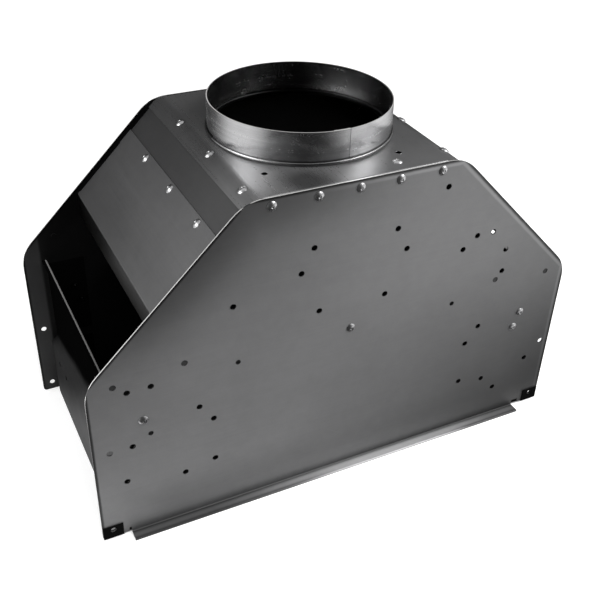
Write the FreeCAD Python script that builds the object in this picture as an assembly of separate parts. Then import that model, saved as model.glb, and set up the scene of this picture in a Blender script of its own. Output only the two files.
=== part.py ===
import FreeCAD
import Part
import math
import os

# Draft diverter for a six inch gas flue, folded and riveted from coated steel sheet.
# Millimetres. X runs along the two gable panels, Y from the front panel to the back one, Z up.
# The origin is on the floor under the middle of the collar.

V = FreeCAD.Vector

# Sheet
SHEET = 1.0
BEND = 1.0
CLEAR = 0.3

# Gable panels, of the same outline at the front and at the back
PANEL_WIDTH = 445.0
PANEL_HEIGHT = 290.0
CORNER_RADIUS = 35.0
DEPTH = 210.0
TAB_WIDTH = 22.5
TAB_BOTTOM = 3.0
TAB_RADIUS = 3.0
LIP_WIDTH = 10.0
# How much the lip's right end is cut short
LIP_TRIM = 5.0
HEM_LENGTH = 8.0
RELIEF = 2.0
CUT_RADIUS = 0.2
HOLE = 5.0
SAME_POINT = 1e-6

# Roof, whose edges are given along X, past the line where the slope meets the flat top
SLOPE = 45.0
TOP_MARGIN = 17.5
ROOF_INSET = 4.5
TOP_FLANGE = 17.0
TOP_REACH = 8.4
SHOULDER_REACH = 34.9
SLOPE_HEAD = 26.4
RELIEF_WIDTH = 36.0
SLOPE_LIP = 22.0
SLOPE_BEND = 2.5
SLOPE_FLANGE = 12.0

# Collar, a rolled strip lapped on its inside, beaded above the top plate and turned out below it
COLLAR_DIAMETER = 152.0
COLLAR_WALL = 0.8
COLLAR_RISE = 27.5
BEAD_RADIUS = 1.6
COLLAR_FOOT = 4.0
FOOT_MARGIN = 0.5
COLLAR_LAP = 14.0
SEAM_ANGLE = -86.0
SEAM_GAP = 0.4

# End walls under the relief openings
WALL_INSET = 20.5
WALL_STEP = 6.0
WALL_STEP_HEIGHT = 60.0
WALL_DROP = 11.0
WALL_LEDGE = 3.5
WALL_FLANGE = 34.0
WALL_FLANGE_FOOT = 22.0
# In from the back panel's face and up from the floor
FOOT_HOLES = ((29.8, 52.2), (54.1, 53.5))

# Deflector that hangs across the middle of the box
DEFLECTOR_WIDTH = 232.0
DEFLECTOR_FLAT = 60.0
DEFLECTOR_DROP = 118.0
DEFLECTOR_FALL = 3.1
DEFLECTOR_LIP = 14.0
DEFLECTOR_LIP_ANGLE = 45.0
DEFLECTOR_FLANGE = 26.0

# Blind rivets
RIVET_SHANK = 4.0
RIVET_FIT = 0.1
RIVET_HEAD = 8.0
RIVET_DOME = 1.6
RIVET_SKIRT = 0.35
RIVET_TAIL = 5.6
RIVET_TAIL_LENGTH = 3.0
MANDREL = 2.0
TOP_RIVET_DROP = 7.0
TOP_RIVET_EDGE = 5.5
TOP_RIVET_PITCH = 35.0
SHOULDER_RIVET_FIRST = 21.0
SHOULDER_RIVET_PITCH = 65.0
SEAM_RIVET_FIRST = 36.0
SEAM_RIVET_PITCH = 60.0
SEAM_RIVET_EDGE = 3.7
ROOF_RIVET_COUNT = 3
# In from the end wall and down from its top
WALL_RIVET = (22.0, 31.0)
WALL_JOINT = (27.0, 46.5)
DEFLECTOR_JOINT_EDGE = 15.5
DEFLECTOR_JOINT_DROP = 18.0
COLLAR_RIVET_RISE = 9.0

# Clip nuts on the bottom corners of the front panel
CLIP_WIDTH = 17.0
CLIP_HEIGHT = 13.0
CLIP_SHEET = 0.6
CLIP_HOLE = 5.2

# Clinch joints, cups of the panel's own metal pressed through the flange behind
CLINCH_CUP = 3.8
CLINCH_OVERHANG = 0.4
CLINCH_RIM = 0.6
CLINCH_FLOOR = 0.6

# Buttons half sheared out of the panels
BUTTON = 4.8
BUTTON_DEPTH = 0.5
PUNCH_ROLL = 0.3

# Punched holes and buttons of the panels, seen from outside. Upper ones are given from the
# middle and down from the top, lower ones from the middle and up from the floor.
UPPER_PAIRS = ((37.0, 50.5), (47.3, 71.2), (30.2, 110.5), (104.0, 86.0))
UPPER_BUTTONS = ((144.5, 126.6),)
UPPER_RIGHT = ((80.7, 22.5), (117.0, 75.5), (133.4, 75.5), (150.2, 96.8), (150.2, 118.7))
LOWER_PAIRS = ((134.0, 116.0), (122.3, 99.8), (122.0, 56.0), (148.5, 50.5))
LOWER_RIGHT = ((164.4, 34.8),)
# Holes by the ends, in from the panel's edge and up from the floor
CORNER_HOLE = (9.1, 11.3)
END_PAIRS = ((25.0, 60.0), CORNER_HOLE)
END_RIGHT = ((9.1, 75.8),)
# Holes and buttons by the end wall's top, in from the panel's edge and up from that top
WALL_BUTTONS = ((21.5, 8.0),)
BACK_BUTTON = (30.6, 23.8)
WALL_LEFT = ((31.7, -0.2), (50.5, 0.0), (32.1, -54.8), (13.7, -55.2))
# Holes and a rivet of the top plate, from the middle and back from the front panel
PLATE_HOLES = ((-62.7, 36.0), (49.5, 29.0))
PLATE_RIVET = (40.0, 15.0)

# Worked out from the sizes above
HALF_WIDTH = PANEL_WIDTH / 2
HALF_DEPTH = DEPTH / 2
INNER = HALF_DEPTH - SHEET
SLACK = INNER - CLEAR
HEM = 2 * SHEET + CLEAR
PLATE_FOOT = HEM + BEND + RELIEF
COLLAR_RADIUS = COLLAR_DIAMETER / 2
COLLAR_RIM = PANEL_HEIGHT + COLLAR_RISE
HALF_TOP = COLLAR_RADIUS + TOP_MARGIN
RISE = math.tan(math.radians(SLOPE))
SHOULDER_HEIGHT = PANEL_HEIGHT - (HALF_WIDTH - HALF_TOP) * RISE
# The roof's slope runs parallel to the panels' chamfer, set in by ROOF_INSET, and the fold
# between slope and flat top starts clear of the collar's foot
HALF_FOLD = math.tan(math.radians(SLOPE / 2))
ROOF_VERTEX = HALF_TOP - ROOF_INSET / math.sin(math.radians(SLOPE))
FLAT_END = COLLAR_RADIUS + COLLAR_FOOT + FOOT_MARGIN
ROOF_BEND = (ROOF_VERTEX - FLAT_END) / HALF_FOLD
TOP_FLANGE_END = FLAT_END - RELIEF
TOP_EDGE = ROOF_VERTEX + TOP_REACH
WALL_X = HALF_WIDTH - WALL_INSET
WALL_FOOT_X = WALL_X + WALL_STEP
WALL_TOP = SHOULDER_HEIGHT - WALL_DROP
DEFLECTOR_RIDGE = PANEL_HEIGHT - DEFLECTOR_DROP
DEFLECTOR_SLOPE = math.tan(math.radians(DEFLECTOR_FALL))
CLINCH_NECK = HOLE - 2 * RIVET_FIT
SHOULDER_START = FLAT_END + SHEET
SHOULDER_END = ROOF_VERTEX + SHOULDER_REACH
SLOPE_START = ROOF_VERTEX + SLOPE_HEAD
SLOPE_END = WALL_X - RELIEF_WIDTH
PUNCH = 12 * SHEET
UP = V(0, 0, 1)
INWARD = V(0, 1, 0)


def on_front(a, b):
    """A point of an X-Z drawing."""
    return V(a, 0, b)


def on_side(a, b):
    """A point of a Y-Z drawing."""
    return V(0, a, b)


def left_of(direction):
    return (-direction[1], direction[0])


def direction_between(start, end):
    length = math.hypot(end[0] - start[0], end[1] - start[1])
    return ((end[0] - start[0]) / length, (end[1] - start[1]) / length)


def path_edges(points, radii, shift, plane):
    """Edges of a path with rounded corners, moved to its left by shift."""
    edges = []
    incoming = direction_between(points[0], points[1])
    normal = left_of(incoming)
    here = plane(points[0][0] + shift * normal[0], points[0][1] + shift * normal[1])
    for index, radius in enumerate(radii):
        corner = points[index + 1]
        outgoing = direction_between(corner, points[index + 2])
        turn = incoming[0] * outgoing[1] - incoming[1] * outgoing[0]
        side = 1.0 if turn > 0 else -1.0
        angle = math.acos(incoming[0] * outgoing[0] + incoming[1] * outgoing[1])
        tangent = radius * math.tan(angle / 2)
        first = left_of(incoming)
        last = left_of(outgoing)
        centre_x = corner[0] - incoming[0] * tangent + side * radius * first[0]
        centre_y = corner[1] - incoming[1] * tangent + side * radius * first[1]
        moved = side * radius - shift
        middle = direction_between((0, 0), (first[0] + last[0], first[1] + last[1]))
        begin, via, end = (
            plane(centre_x - moved * ray[0], centre_y - moved * ray[1])
            for ray in (first, middle, last)
        )
        if here.distanceToPoint(begin) > SAME_POINT:
            edges.append(Part.makeLine(here, begin))
        edges.append(Part.Arc(begin, via, end).toShape())
        here = end
        incoming = outgoing
    normal = left_of(incoming)
    finish = plane(points[-1][0] + shift * normal[0], points[-1][1] + shift * normal[1])
    edges.append(Part.makeLine(here, finish))
    return edges, finish


def folded(points, radii, thickness, plane, sweep):
    """A folded sheet: its outer face follows the points, its thickness lies to their left."""
    outer, outer_end = path_edges(points, radii, 0.0, plane)
    inner, inner_end = path_edges(points, radii, thickness, plane)
    first_cap = Part.makeLine(outer[0].Vertexes[0].Point, inner[0].Vertexes[0].Point)
    last_cap = Part.makeLine(outer_end, inner_end)
    wire = Part.Wire(Part.__sortEdges__(outer + [last_cap] + inner + [first_cap]))
    return Part.Face(wire).extrude(sweep)


def sheet_outline(points, radii, thickness):
    """A flat plate cut to a closed outline in X-Z, thick towards +Y."""
    count = len(points)
    middle = ((points[0][0] + points[-1][0]) / 2, (points[0][1] + points[-1][1]) / 2)
    ring = [middle] + list(points) + [middle]
    edges, _ = path_edges(ring, radii[:count], 0.0, on_front)
    return Part.Face(Part.Wire(Part.__sortEdges__(edges))).extrude(V(0, thickness, 0))


def block(low, high):
    size = [high[i] - low[i] for i in range(3)]
    return Part.makeBox(size[0], size[1], size[2], V(*low))


def merged(shapes):
    return shapes[0].fuse(shapes[1:]).removeSplitter()


def mirrored_x(shape):
    return shape.mirror(V(0, 0, 0), V(1, 0, 0))


def turned_round(shape):
    """The same part turned end for end, as the back of the box."""
    return shape.rotated(V(0, 0, 0), V(0, 0, 1), 180)


def pins(places, diameter, low, high):
    """Cylinders along Y at (x, z) places, to cut holes with."""
    return [
        Part.makeCylinder(diameter / 2, high - low, V(x, low, z), V(0, 1, 0))
        for x, z in places
    ]


def punch(place, outward, diameter):
    """A round cutter through the sheets at a place."""
    start = place - outward * (PUNCH / 2)
    return Part.makeCylinder(diameter / 2, PUNCH, start, outward)


def rivet_hole(place, outward):
    return punch(place, outward, RIVET_SHANK + RIVET_FIT)


def flanged_run(start, tilt, run, flange):
    """A channel with bent flanges that lie against both panels, and the blocks that make room
    for it at the rims of a flat sheet. It starts at an (x, z) point of the outer face and runs
    to the left, tilted down by an angle."""
    outer_bend = BEND + SHEET
    section = [(INNER, -flange), (INNER, 0), (-INNER, 0), (-INNER, -flange)]
    channel = folded(section, [outer_bend, outer_bend], SHEET, on_side, V(-run, 0, 0))
    rim = block((-run, INNER - outer_bend, -outer_bend), (0, HALF_DEPTH, outer_bend))
    rims = [rim, rim.mirror(V(0, 0, 0), V(0, 1, 0))]
    for shape in [channel] + rims:
        shape.rotate(V(0, 0, 0), V(0, 1, 0), -tilt)
        shape.translate(on_front(*start))
    return channel, rims


def with_flanges(sheet, runs):
    """A sheet between the panels with its flanged runs let in."""
    rims = [rim for _, pair in runs for rim in pair]
    return merged([sheet.cut(rims)] + [channel for channel, _ in runs])


def between_panels(points, radii):
    """A folded sheet that runs from panel to panel."""
    sheet = folded(points, radii, SHEET, on_front, V(0, 2 * SLACK, 0))
    sheet.translate(V(0, -SLACK, 0))
    return sheet


def rivet(place, outward, grip):
    """A set blind rivet: domed head on the outer face, shank through the grip, tail inside."""
    head = RIVET_HEAD / 2
    shank = RIVET_SHANK / 2
    dome = (head ** 2 + RIVET_DOME ** 2) / (2 * RIVET_DOME)
    rim = V(head, 0, RIVET_SKIRT)
    peak = V(0, 0, RIVET_SKIRT + RIVET_DOME)
    arc_angle = math.asin(head / dome) / 2
    drop = dome * (1 - math.cos(arc_angle))
    via = V(dome * math.sin(arc_angle), 0, peak.z - drop)
    tail = RIVET_TAIL / 2
    tail_top = -grip - CLEAR
    tail_end = tail_top - RIVET_TAIL_LENGTH
    bulge = V(tail, 0, (tail_top + tail_end) / 2)
    edges = [
        Part.Arc(peak, via, rim).toShape(),
        Part.makeLine(rim, V(head, 0, 0)),
        Part.makeLine(V(head, 0, 0), V(shank, 0, 0)),
        Part.makeLine(V(shank, 0, 0), V(shank, 0, tail_top)),
        Part.Arc(V(shank, 0, tail_top), bulge, V(shank, 0, tail_end)).toShape(),
        Part.makeLine(V(shank, 0, tail_end), V(0, 0, tail_end)),
        Part.makeLine(V(0, 0, tail_end), peak),
    ]
    solid = Part.Face(Part.Wire(edges)).revolve(V(0, 0, 0), V(0, 0, 1), 360)
    solid = Part.Solid(solid) if solid.ShapeType == "Shell" else solid
    recess = Part.makeCylinder(MANDREL / 2, RIVET_DOME, V(0, 0, peak.z - RIVET_DOME / 2))
    solid = solid.cut(recess)
    solid.Placement = FreeCAD.Placement(place, FreeCAD.Rotation(V(0, 0, 1), outward))
    return solid


def roof_point(x):
    """Place on the outer face of the left half of the roof at distance x, and its normal."""
    bend_end = ROOF_VERTEX + (ROOF_VERTEX - FLAT_END) * math.cos(math.radians(SLOPE))
    angle = 0.0
    z = PANEL_HEIGHT
    if x >= bend_end:
        angle = math.radians(SLOPE)
        z = slope_z(x)
    elif x > FLAT_END:
        angle = math.asin((x - FLAT_END) / ROOF_BEND)
        z = PANEL_HEIGHT - ROOF_BEND * (1 - math.cos(angle))
    return V(-x, 0, z), V(-math.sin(angle), 0, math.cos(angle))


def slope_z(x):
    return PANEL_HEIGHT - (x - ROOF_VERTEX) * RISE


def deflector_z(x):
    return DEFLECTOR_RIDGE - max(abs(x) - DEFLECTOR_FLAT / 2, 0) * DEFLECTOR_SLOPE


def paired(places):
    return [(side * x, z) for x, z in places for side in (-1, 1)]


def top_rivet_places():
    height = PANEL_HEIGHT - TOP_RIVET_DROP
    end = TOP_FLANGE_END - TOP_RIVET_EDGE
    return [(0, height)] + paired([(TOP_RIVET_PITCH, height), (end, height)])


def wall_joint_place():
    """The lower joint of the right-hand end wall. The left-hand one is its mirror image."""
    return WALL_X - WALL_JOINT[0], WALL_TOP - WALL_JOINT[1]


def wall_rivet_places():
    upper = (WALL_X - WALL_RIVET[0], WALL_TOP - WALL_RIVET[1])
    return paired([upper]) + [wall_joint_place()]


def deflector_rivet_place():
    return 0, DEFLECTOR_RIDGE - DEFLECTOR_JOINT_DROP


def clinch_places():
    x, z = wall_joint_place()
    end = DEFLECTOR_WIDTH / 2 - DEFLECTOR_JOINT_EDGE
    return [(-x, z)] + paired([(end, deflector_z(end) - DEFLECTOR_JOINT_DROP)])


def by_wall(places):
    """Places given in from the panel's edge and up from the end wall's top."""
    return [(HALF_WIDTH - inset, WALL_TOP + rise) for inset, rise in places]


def roof_rivet_row(x, first, pitch):
    """Places of a row of rivets that runs back from the front panel at distance x."""
    place, outward = roof_point(x)
    steps = [first + index * pitch - HALF_DEPTH for index in range(ROOF_RIVET_COUNT)]
    return [(place + V(0, y, 0), outward) for y in steps]


def shoulder_rivet_row():
    return roof_rivet_row(ROOF_VERTEX, SHOULDER_RIVET_FIRST, SHOULDER_RIVET_PITCH)


def seam_rivet_row():
    return roof_rivet_row(SLOPE_START + SEAM_RIVET_EDGE, SEAM_RIVET_FIRST, SEAM_RIVET_PITCH)


def row_holes(row):
    return [rivet_hole(place, outward) for place, outward in row]


def end_holes():
    """Holes that both panels have, by their ends."""
    holes = paired([(HALF_WIDTH - inset, z) for inset, z in END_PAIRS])
    return holes + [(HALF_WIDTH - inset, z) for inset, z in END_RIGHT]


def front_holes():
    upper = paired(UPPER_PAIRS) + list(UPPER_RIGHT)
    holes = [(x, PANEL_HEIGHT - drop) for x, drop in upper]
    holes += paired(LOWER_PAIRS) + list(LOWER_RIGHT) + end_holes()
    return holes + [(-x, z) for x, z in by_wall(WALL_LEFT)]


def front_buttons():
    upper = [(x, PANEL_HEIGHT - drop) for x, drop in UPPER_BUTTONS]
    return paired(upper + by_wall(WALL_BUTTONS))


def hole_cutters(places, diameter):
    """Cutters for the front panel and for the flanges that lie against it."""
    return pins(places, diameter, -HALF_DEPTH - SHEET, -INNER + 3 * SHEET)


def panel_cutters(holes):
    """Everything that is punched through a panel, as if it stood at the front."""
    riveted = top_rivet_places() + wall_rivet_places() + [deflector_rivet_place()]
    return hole_cutters(holes, HOLE) + hole_cutters(riveted, RIVET_SHANK + RIVET_FIT)


def flange_fixings():
    """Holes for sheets that carry a flange at the front and at the back."""
    front = panel_cutters(front_holes() + clinch_places())
    back = panel_cutters(end_holes() + clinch_places())
    return front + [turned_round(cutter) for cutter in back]


def pocket(place, diameter, depth):
    """A cutter for a pocket in the front panel's face, with the rolled edge of a punch."""
    mouth = diameter / 2 + PUNCH_ROLL
    return Part.makeCone(mouth, diameter / 2, depth, face_point(place, 0), INWARD)


def face_point(place, depth):
    """A point behind an (x, z) place of the front panel's face."""
    return V(place[0], depth - HALF_DEPTH, place[1])


def button(place):
    """The pocket and the nub of a button."""
    nub = Part.makeCylinder(BUTTON / 2, SHEET, face_point(place, BUTTON_DEPTH), INWARD)
    return pocket(place, BUTTON, BUTTON_DEPTH), [nub]


def clinch(place):
    """The pocket of a clinch joint, and its cup with the rim that holds the flange."""
    grip = 2 * SHEET + CLEAR
    reach = grip + CLINCH_RIM
    start = face_point(place, SHEET / 2)
    cup = Part.makeCylinder(CLINCH_NECK / 2, reach - SHEET / 2, start, INWARD)
    radius = HOLE / 2 + CLINCH_OVERHANG
    rim = Part.makeCylinder(radius, CLINCH_RIM, face_point(place, grip), INWARD)
    return pocket(place, CLINCH_CUP, reach - CLINCH_FLOOR), [cup, rim]


def gable_panel(holes, buttons):
    """Flat plate with chamfered shoulders, and an outward lip with a closed hem at its foot."""
    slot = HALF_WIDTH - TAB_WIDTH
    lip = slot - RELIEF
    lip_end = lip - LIP_TRIM
    points = [
        (lip_end, PLATE_FOOT), (lip_end, PLATE_FOOT + RELIEF), (slot, PLATE_FOOT + RELIEF),
        (slot, TAB_BOTTOM), (HALF_WIDTH, TAB_BOTTOM), (HALF_WIDTH, SHOULDER_HEIGHT),
        (HALF_TOP, PANEL_HEIGHT), (-HALF_TOP, PANEL_HEIGHT), (-HALF_WIDTH, SHOULDER_HEIGHT),
        (-HALF_WIDTH, TAB_BOTTOM), (-slot, TAB_BOTTOM), (-slot, PLATE_FOOT + RELIEF),
        (-lip, PLATE_FOOT + RELIEF), (-lip, PLATE_FOOT),
    ]
    radii = 4 * [CUT_RADIUS] + [TAB_RADIUS, CORNER_RADIUS, CORNER_RADIUS]
    plate = sheet_outline(points, radii + radii[::-1], SHEET)
    plate.translate(V(0, -HALF_DEPTH, 0))
    edge = -HALF_DEPTH - LIP_WIDTH
    profile = [
        (-HALF_DEPTH, PLATE_FOOT), (-HALF_DEPTH, HEM), (edge, HEM), (edge, 0),
        (edge + HEM_LENGTH, 0),
    ]
    sweep = V(lip + lip_end, 0, 0)
    lip_sheet = folded(profile, [BEND, HEM / 2, HEM / 2], SHEET, on_side, sweep)
    lip_sheet.translate(V(-lip, 0, 0))
    pressed = [button(place) for place in buttons] + [clinch(place) for place in clinch_places()]
    raised = [shape for _, shapes in pressed for shape in shapes]
    pockets = [cutter for cutter, _ in pressed]
    return merged([plate, lip_sheet] + raised).cut(panel_cutters(holes) + pockets)


def top_plate():
    """Flat plate that carries the collar, with a flange down each panel and rolled shoulders."""
    start = (TOP_FLANGE_END, PANEL_HEIGHT)
    channel, _ = flanged_run(start, 0, 2 * TOP_FLANGE_END, TOP_FLANGE)
    wing_path = [
        (-TOP_FLANGE_END, PANEL_HEIGHT), (-ROOF_VERTEX, PANEL_HEIGHT),
        (-TOP_EDGE, slope_z(TOP_EDGE)),
    ]
    wing = between_panels(wing_path, [ROOF_BEND])
    plate = merged([channel, wing, mirrored_x(wing)])
    cutters = [punch(V(0, 0, PANEL_HEIGHT), UP, COLLAR_DIAMETER + 2 * CLEAR)]
    cutters += [punch(on_plate(*hole), UP, HOLE) for hole in PLATE_HOLES]
    cutters.append(rivet_hole(on_plate(*PLATE_RIVET), UP))
    return plate.cut(cutters + flange_fixings() + both_sides(row_holes(shoulder_rivet_row())))


def on_plate(x, back):
    """A place on the top plate, at a distance back from the front panel's face."""
    return V(x, back - HALF_DEPTH, PANEL_HEIGHT)


def both_sides(shapes):
    return shapes + [mirrored_x(shape) for shape in shapes]


def left_shoulder():
    """Strip under the edge of the top plate and under the head of the slope sheet."""
    below = PANEL_HEIGHT - SHEET
    vertex = ROOF_VERTEX - SHEET * HALF_FOLD
    end = below - (SHOULDER_END - vertex) * RISE
    path = [(-COLLAR_RADIUS, below), (-vertex, below), (-SHOULDER_END, end)]
    strip = between_panels(path, [ROOF_BEND - SHEET])
    spare = block((-SHOULDER_START, -DEPTH, 0), (0, DEPTH, 2 * PANEL_HEIGHT))
    return strip.cut([spare] + row_holes(shoulder_rivet_row() + seam_rivet_row()))


def left_slope_sheet():
    """Sloping roof sheet: flat head on the shoulder, flanged sides and a lip turned down."""
    run_start = SHOULDER_END + RELIEF
    run = (SLOPE_END - run_start) / math.cos(math.radians(SLOPE)) - SLOPE_BEND - SHEET
    start = (-run_start, slope_z(run_start))
    corner = slope_z(SLOPE_END)
    path = [
        (-SLOPE_START, slope_z(SLOPE_START)), (-SLOPE_END, corner),
        (-SLOPE_END, corner - SLOPE_LIP),
    ]
    sheet = between_panels(path, [SLOPE_BEND])
    flanged = with_flanges(sheet, [flanged_run(start, SLOPE, run, SLOPE_FLANGE)])
    return flanged.cut(row_holes(seam_rivet_row()))


def collar():
    """Rolled strip with a lapped seam, a bead above the plate and an edge turned out below it."""
    outer = COLLAR_RADIUS
    wall = COLLAR_WALL
    bead = BEAD_RADIUS
    plate_top = PANEL_HEIGHT
    plate_under = PANEL_HEIGHT - SHEET
    bead_z = plate_top + bead
    foot = outer + COLLAR_FOOT
    foot_z = plate_under - wall
    points = [
        V(outer, 0, COLLAR_RIM), V(outer, 0, bead_z + bead),
        V(outer, 0, plate_top), V(outer, 0, plate_under), V(foot, 0, plate_under),
        V(foot, 0, foot_z), V(outer - wall, 0, foot_z), V(outer - wall, 0, plate_top),
        V(outer - wall, 0, bead_z + bead), V(outer - wall, 0, COLLAR_RIM),
    ]
    edges = [
        Part.makeLine(points[0], points[1]),
        Part.Arc(points[1], V(outer + bead, 0, bead_z), points[2]).toShape(),
        Part.makeLine(points[2], points[3]),
        Part.makeLine(points[3], points[4]),
        Part.makeLine(points[4], points[5]),
        Part.makeLine(points[5], points[6]),
        Part.makeLine(points[6], points[7]),
        Part.Arc(points[7], V(outer + bead - wall, 0, bead_z), points[8]).toShape(),
        Part.makeLine(points[8], points[9]),
        Part.makeLine(points[9], points[0]),
    ]
    ring = Part.Face(Part.Wire(edges)).revolve(V(0, 0, 0), V(0, 0, 1), 360)
    lap_degrees = math.degrees(COLLAR_LAP / outer)
    lap_foot = bead_z + bead
    lap_height = COLLAR_RIM - lap_foot
    lap = Part.makeCylinder(outer - wall / 2, lap_height, V(0, 0, lap_foot), UP, lap_degrees)
    lap = lap.cut(Part.makeCylinder(outer - 2 * wall, COLLAR_RIM))
    lap.rotate(V(0, 0, 0), UP, SEAM_ANGLE - lap_degrees)
    seam_end = (outer + wall, SEAM_GAP / 2, COLLAR_RIM + wall)
    seam = block((outer - wall / 2, -SEAM_GAP / 2, lap_foot), seam_end)
    seam.rotate(V(0, 0, 0), UP, SEAM_ANGLE)
    place, outward = collar_rivet_place()
    return merged([ring, lap]).cut([seam, rivet_hole(place, outward)])


def collar_rivet_place():
    angle = math.radians(SEAM_ANGLE - math.degrees(COLLAR_LAP / COLLAR_RADIUS) / 2)
    outward = V(math.cos(angle), math.sin(angle), 0)
    return outward * COLLAR_RADIUS + UP * (PANEL_HEIGHT + COLLAR_RIVET_RISE), outward


def left_end_wall():
    """Upright end sheet with a joggled foot, a narrow ledge on top and flanges at each end,
    before the holes of its flanges are punched."""
    step_top = WALL_STEP_HEIGHT + WALL_STEP
    path = [
        (-WALL_X - WALL_LEDGE, WALL_TOP), (-WALL_X, WALL_TOP), (-WALL_X, step_top),
        (-WALL_FOOT_X, WALL_STEP_HEIGHT), (-WALL_FOOT_X, 0),
    ]
    web = between_panels(path, [BEND, 2 * BEND, 2 * BEND])
    upper_top = WALL_TOP - WALL_LEDGE
    lower_top = WALL_STEP_HEIGHT - RELIEF
    upper_run = upper_top - step_top - RELIEF
    lower_run = lower_top - WALL_FLANGE_FOOT
    upper = flanged_run((-WALL_X, upper_top), 90, upper_run, WALL_FLANGE)
    lower = flanged_run((-WALL_FOOT_X, lower_top), 90, lower_run, WALL_FLANGE + WALL_STEP)
    notch_top = TAB_BOTTOM + CLIP_HEIGHT + RELIEF
    notch_end = -INNER + CLIP_SHEET + RELIEF
    notch = block((-HALF_WIDTH, -HALF_DEPTH, -SHEET), (0, notch_end, notch_top))
    notches = [notch, notch.mirror(V(0, 0, 0), V(0, 1, 0))]
    out = V(-1, 0, 0)
    foot = [V(-WALL_FOOT_X, HALF_DEPTH - inset, z) for inset, z in FOOT_HOLES]
    foot_cutters = [punch(place, out, HOLE) for place in foot]
    return with_flanges(web, [upper, lower]).cut(notches + foot_cutters)


def deflector():
    """Plate over the inlet, flat in the middle, hung by three flanges from each panel."""
    half = DEFLECTOR_WIDTH / 2
    flat = DEFLECTOR_FLAT / 2
    lip_angle = math.radians(DEFLECTOR_LIP_ANGLE)
    lip_end = half + DEFLECTOR_LIP * math.cos(lip_angle)
    edge = deflector_z(half)
    lip_foot = edge - DEFLECTOR_LIP * math.sin(lip_angle)
    path = [
        (lip_end, lip_foot), (half, edge), (flat, DEFLECTOR_RIDGE), (-flat, DEFLECTOR_RIDGE),
        (-half, edge), (-lip_end, lip_foot),
    ]
    plate = between_panels(path, 4 * [2 * BEND])
    middle_end = flat - RELIEF
    middle = flanged_run((middle_end, DEFLECTOR_RIDGE), 0, 2 * middle_end, DEFLECTOR_FLANGE)
    side_end = flat + RELIEF
    run = (half - 2 * RELIEF - side_end) / math.cos(math.radians(DEFLECTOR_FALL))
    start = (-side_end, deflector_z(side_end))
    left = flanged_run(start, DEFLECTOR_FALL, run, DEFLECTOR_FLANGE)
    right = (mirrored_x(left[0]), [mirrored_x(rim) for rim in left[1]])
    return with_flanges(plate, [middle, left, right]).cut(flange_fixings())


def panel_rivets(places):
    """Rivets through the front panel and the flange behind it."""
    return [rivet(V(x, -HALF_DEPTH, z), V(0, -1, 0), 2 * SHEET) for x, z in places]


def roof_rivets(row):
    """Rivets through two layers of the left half of the roof."""
    return [rivet(place, outward, 2 * SHEET) for place, outward in row]


def collar_rivet():
    """Flush rivet: its head is cut level with the outside, so that a flue pipe slides over it."""
    place, outward = collar_rivet_place()
    shape = rivet(place + outward * SHEET, outward, 2 * COLLAR_WALL + SHEET)
    return shape.common(Part.makeCylinder(COLLAR_RADIUS, COLLAR_RIM))


def plate_rivet():
    return rivet(on_plate(*PLATE_RIVET), UP, SHEET)


def clip_nut(x):
    """Spring clip pushed over the foot of the front panel's corner tab, with its screw hole."""
    top = TAB_BOTTOM + CLIP_HEIGHT
    foot = TAB_BOTTOM - CLEAR
    front = -HALF_DEPTH - CLEAR - CLIP_SHEET
    back = -INNER + CLEAR + CLIP_SHEET
    bend = 2 * CLIP_SHEET
    profile = [(front, top), (front, foot - CLIP_SHEET), (back, foot - CLIP_SHEET), (back, top)]
    clip = folded(profile, [bend, bend], CLIP_SHEET, on_side, V(CLIP_WIDTH, 0, 0))
    clip.translate(V(x - CLIP_WIDTH / 2, 0, 0))
    return clip.cut(hole_cutters([(x, CORNER_HOLE[1])], CLIP_HOLE))


def main():
    front = gable_panel(front_holes(), front_buttons())
    back = gable_panel(end_holes(), by_wall([BACK_BUTTON]))
    shoulder = left_shoulder()
    slope_sheet = left_slope_sheet()
    end_wall = left_end_wall()
    top_rivets = panel_rivets(top_rivet_places())
    wall_rivets = panel_rivets(wall_rivet_places())
    deflector_rivet = panel_rivets([deflector_rivet_place()])
    shoulder_rivets = roof_rivets(shoulder_rivet_row())
    seam_rivets = roof_rivets(seam_rivet_row())
    clip_x = HALF_WIDTH - CORNER_HOLE[0]
    nodes = {
        "front_panel": [front],
        "back_panel": [turned_round(back)],
        "top_plate": [top_plate()],
        "flue_collar": [collar()],
        "left_shoulder": [shoulder],
        "right_shoulder": [mirrored_x(shoulder)],
        "left_slope_sheet": [slope_sheet],
        "right_slope_sheet": [mirrored_x(slope_sheet)],
        "left_end_wall": [end_wall.cut(flange_fixings())],
        "right_end_wall": [mirrored_x(end_wall).cut(flange_fixings())],
        "deflector": [deflector()],
        "front_top_rivets": top_rivets,
        "back_top_rivets": [turned_round(solid) for solid in top_rivets],
        "front_wall_rivets": wall_rivets,
        "back_wall_rivets": [turned_round(solid) for solid in wall_rivets],
        "front_deflector_rivet": deflector_rivet,
        "back_deflector_rivet": [turned_round(solid) for solid in deflector_rivet],
        "left_shoulder_rivets": shoulder_rivets,
        "right_shoulder_rivets": [mirrored_x(solid) for solid in shoulder_rivets],
        "left_seam_rivets": seam_rivets,
        "right_seam_rivets": [mirrored_x(solid) for solid in seam_rivets],
        "collar_rivet": [collar_rivet()],
        "plate_rivet": [plate_rivet()],
        "clip_nuts": [clip_nut(-clip_x), clip_nut(clip_x)],
    }
    os.makedirs("parts", exist_ok=True)
    for name, solids in nodes.items():
        shape = solids[0] if len(solids) == 1 else Part.makeCompound(solids)
        shape.exportStep("parts/" + name + ".step")
        print(name, len(shape.Solids), "solid(s)", round(shape.Volume, 1), "mm3", shape.isValid())


main()
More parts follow.
